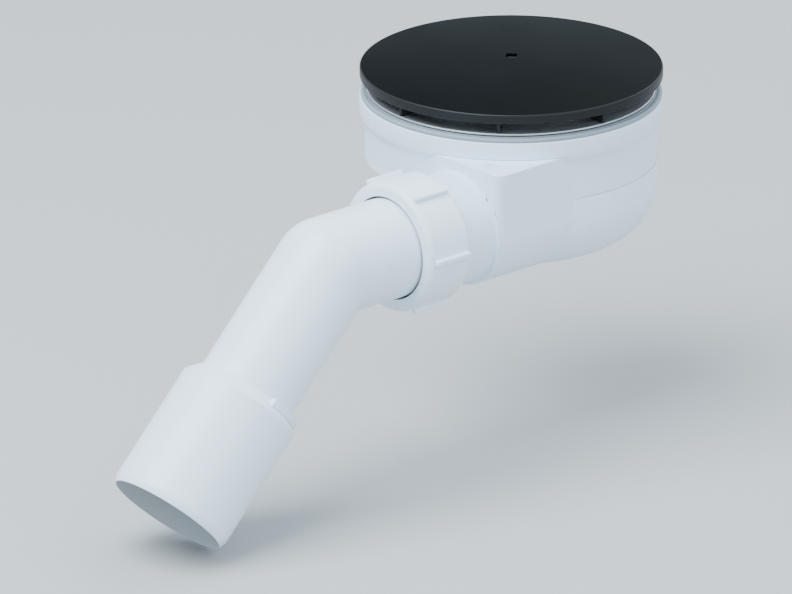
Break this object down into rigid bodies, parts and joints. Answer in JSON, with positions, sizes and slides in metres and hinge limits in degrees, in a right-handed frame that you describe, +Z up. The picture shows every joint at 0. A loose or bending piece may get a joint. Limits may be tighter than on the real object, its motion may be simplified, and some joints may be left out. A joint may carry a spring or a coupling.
{
  "type": "shower trap",
  "caption": "Low shower tray trap with a round matt black cover, clamped steel flange, lift-out water seal, side outlet nut, swivelling bend and pipe adapter.",
  "frame": {"origin": "on the vertical drain axis, in the plane where the shower tray is clamped (top of the tray gasket)", "axes": "+Z up out of the drain; +X along the outlet, away from the body; +Y towards the side on which the outlet is offset"},
  "size_m": [0.2861, 0.1206, 0.148],
  "materials": {
    "white_body": "satin moulded polypropylene",
    "white_nut": "satin moulded polypropylene",
    "white_pipe": "satin extruded polypropylene",
    "white_insert": "satin moulded polypropylene",
    "grey_plastic": "satin moulded plastic",
    "natural_plastic": "waxy polyethylene",
    "black_cover": "matt black",
    "black_plastic": "fine grained moulding",
    "stainless": "turned and brushed",
    "grey_rubber": "soft matt rubber",
    "black_rubber": "matt rubber"
  },
  "bodies": {
    "trap_body": {"body_top": "white_body", "body_bowl": "white_body", "tray_gasket": "grey_rubber", "outlet_seal": "black_rubber"},
    "flange": {"steel_flange": "stainless", "flange_seal": "black_rubber"},
    "clamp": {"clamp_sleeve": "grey_plastic", "sleeve_seal": "black_rubber"},
    "insert": {"dip_insert": "white_insert", "insert_ring": "black_rubber"},
    "cup": {"trap_cup": "white_insert"},
    "strainer": {"hair_strainer": "grey_plastic"},
    "cover": {"cover_plate": "black_cover", "cover_carrier": "black_plastic"},
    "washer": {"slip_washer": "natural_plastic"},
    "nut": {"outlet_nut": "white_nut"},
    "elbow": {"outlet_elbow": "white_pipe"},
    "adapter": {"adapter_sleeve": "white_pipe", "adapter_seal": "black_rubber", "adapter_retainer": "white_pipe"}
  },
  "joints": [
    {"name": "clamp_turn", "type": "hinge", "parent": "flange", "child": "clamp", "pos_m": [0, 0, 0], "axis": [0, 0, 1], "range_deg": [0, 1080]},
    {"name": "flange_lift", "type": "slide", "parent": "trap_body", "child": "flange", "axis": [0, 0, 1], "range_m": [0, 0.0121]},
    {"name": "insert_lift", "type": "slide", "parent": "flange", "child": "insert", "axis": [0, 0, 1], "range_m": [0, 0.06]},
    {"name": "cup_twist", "type": "hinge", "parent": "insert", "child": "cup", "pos_m": [0, 0, -0.03], "axis": [0, 0, 1], "range_deg": [0, 45]},
    {"name": "strainer_lift", "type": "slide", "parent": "insert", "child": "strainer", "axis": [0, 0, 1], "range_m": [0, 0.02]},
    {"name": "cover_lift", "type": "slide", "parent": "strainer", "child": "cover", "axis": [0, 0, 1], "range_m": [0, 0.03]},
    {"name": "nut_travel", "type": "slide", "parent": "trap_body", "child": "washer", "axis": [1, 0, 0], "range_m": [0, 0.0141]},
    {"name": "nut_turn", "type": "hinge", "parent": "washer", "child": "nut", "pos_m": [0.0845, 0.0314, -0.0355], "axis": [1, 0, 0], "range_deg": [0, 1260]},
    {"name": "elbow_swivel", "type": "hinge", "parent": "trap_body", "child": "elbow", "pos_m": [0.1, 0.0314, -0.0355], "axis": [1, 0, 0], "continuous": true},
    {"name": "adapter_pull", "type": "slide", "parent": "elbow", "child": "adapter", "axis": [0.7071, 0, -0.7071], "range_m": [0, 0.03]}
  ],
  "couplings": [
    {"joint": "flange_lift", "follows": "clamp_turn", "m_per_rad": 0.00063662},
    {"joint": "nut_travel", "follows": "nut_turn", "m_per_rad": 0.00063662}
  ]
}
